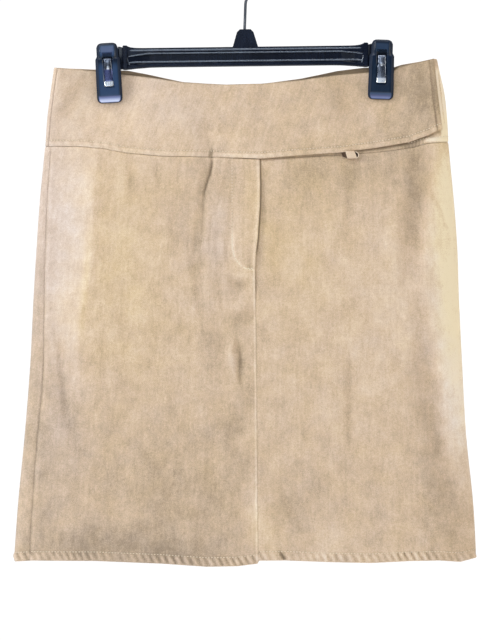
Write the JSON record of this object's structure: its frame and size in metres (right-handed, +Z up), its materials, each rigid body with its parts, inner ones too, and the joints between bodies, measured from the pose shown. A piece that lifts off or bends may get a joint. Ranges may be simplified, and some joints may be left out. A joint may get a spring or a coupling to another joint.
{
  "type": "mini skirt on clip hanger",
  "caption": "Brushed cotton mini skirt with a wide wrap-over waistband and fly front, hanging flat from the clips of a plastic hanger.",
  "frame": {"origin": "the top of the hook's inside, where it rests on a rail", "axes": "+Z up, along the hanging skirt; the skirt's front faces -Y; +X to the right of someone who looks at its front"},
  "size_m": [0.4707, 0.0503, 0.6255],
  "materials": {
    "cotton": "brushed cotton twill with a suede-like nap, tan, mottled",
    "zip_tape": "woven tape, beige",
    "hanger_plastic": "moulded, black, satin gloss",
    "steel": "plain wire and spring strip"
  },
  "bodies": {
    "root": {"skirt_front_left": "cotton", "skirt_front_right": "cotton", "skirt_back": "cotton", "band_wrap_over": "cotton", "band_under": "cotton", "band_back": "cotton", "belt_loop": "cotton", "fly_zip": "zip_tape", "hanger_bar": "hanger_plastic", "clip_left_front": "hanger_plastic", "clip_left_back": "hanger_plastic", "clip_right_front": "hanger_plastic", "clip_right_back": "hanger_plastic", "clip_left_spring": "steel", "clip_right_spring": "steel", "hook": "steel"}
  },
  "joints": []
}
